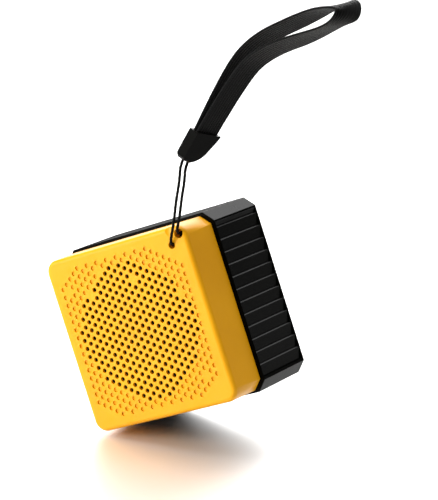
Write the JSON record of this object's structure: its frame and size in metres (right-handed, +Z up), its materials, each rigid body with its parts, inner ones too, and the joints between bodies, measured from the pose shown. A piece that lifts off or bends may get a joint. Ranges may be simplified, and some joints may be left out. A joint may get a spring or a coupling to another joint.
{
  "type": "portable cube loudspeaker with wrist strap",
  "caption": "Compact cube-shaped portable loudspeaker with a perforated yellow front, ribbed black housing and a webbing wrist strap that it hangs from.",
  "frame": {"origin": "top inside of the wrist loop, in the middle of the webbing's width, where a hand holds the strap", "axes": "+Z up as the speaker hangs; -Y the way the perforated front looks; the speaker is rolled 20.6 degrees about Y, right side up"},
  "size_m": [0.1376, 0.0611, 0.1839],
  "materials": {
    "yellow_plastic": "satin",
    "black_plastic": "satin",
    "strap_plastic": "satin",
    "button_rubber": "matt",
    "webbing": "woven",
    "cord": "braided",
    "cloth": "matt",
    "foam": "matt",
    "seal_rubber": "matt",
    "surround_rubber": "satin",
    "paper": "paper",
    "spider_cloth": "woven",
    "plated_steel": "zinc plated",
    "black_steel": "painted",
    "ferrite": "matt",
    "copper": "enamelled wire",
    "board": "solder mask",
    "chip": "moulded",
    "cell": "foil pouch",
    "clear": "clear plastic",
    "led": "phosphor"
  },
  "bodies": {
    "strap": {"wrist_webbing": "webbing", "strap_clamp": "strap_plastic", "strap_cord": "cord"},
    "housing": {"front_shell": "yellow_plastic", "dust_cloth": "cloth", "driver_gasket": "foam", "driver_basket": "black_steel", "driver_top_plate": "plated_steel", "driver_magnet": "ferrite", "driver_yoke": "plated_steel", "driver_terminals": "chip", "driver_screws": "plated_steel", "driver_surround": "surround_rubber", "driver_spider": "spider_cloth", "seam_seal": "seal_rubber", "rear_shell": "black_plastic", "back_cover": "black_plastic", "case_screws": "black_steel", "port_cover_pin": "plated_steel", "main_board": "board", "board_screws": "plated_steel", "usb_socket": "plated_steel", "button_switches": "chip", "status_led": "led", "light_pipe": "clear", "amplifier_chip": "chip", "battery": "cell", "battery_pad": "foam"},
    "diaphragm": {"driver_cone": "paper", "dust_cap": "paper", "voice_coil": "copper"},
    "power_key": {"button_power": "button_rubber"},
    "lower_key": {"button_lower": "button_rubber"},
    "raise_key": {"button_raise": "button_rubber"},
    "mode_key": {"button_mode": "button_rubber"},
    "port_lid": {"port_cover": "button_rubber"}
  },
  "joints": [
    {"name": "strap_swing", "type": "hinge", "parent": "strap", "child": "housing", "pos_m": [-0.06465, -0.0053, -0.09399], "axis": [-0.5943, 0.8043, 0], "range_deg": [-25, 25], "deforming": ["strap_cord"]},
    {"name": "diaphragm_travel", "type": "slide", "parent": "housing", "child": "diaphragm", "axis": [0, 1, 0], "range_m": [-0.001, 0.001], "stiffness_N_per_m": 900, "deforming": ["driver_surround", "driver_spider"]},
    {"name": "power_press", "type": "slide", "parent": "housing", "child": "power_key", "axis": [0, -1, 0], "range_m": [0, 0.0005], "stiffness_N_per_m": 800},
    {"name": "lower_press", "type": "slide", "parent": "housing", "child": "lower_key", "axis": [0, -1, 0], "range_m": [0, 0.0005], "stiffness_N_per_m": 800},
    {"name": "raise_press", "type": "slide", "parent": "housing", "child": "raise_key", "axis": [0, -1, 0], "range_m": [0, 0.0005], "stiffness_N_per_m": 800},
    {"name": "mode_press", "type": "slide", "parent": "housing", "child": "mode_key", "axis": [0, -1, 0], "range_m": [0, 0.0005], "stiffness_N_per_m": 800},
    {"name": "port_lid_hinge", "type": "hinge", "parent": "housing", "child": "port_lid", "pos_m": [-0.07443, 0.04255, -0.15293], "axis": [-0.9361, 0, -0.3518], "range_deg": [0, 100]}
  ]
}
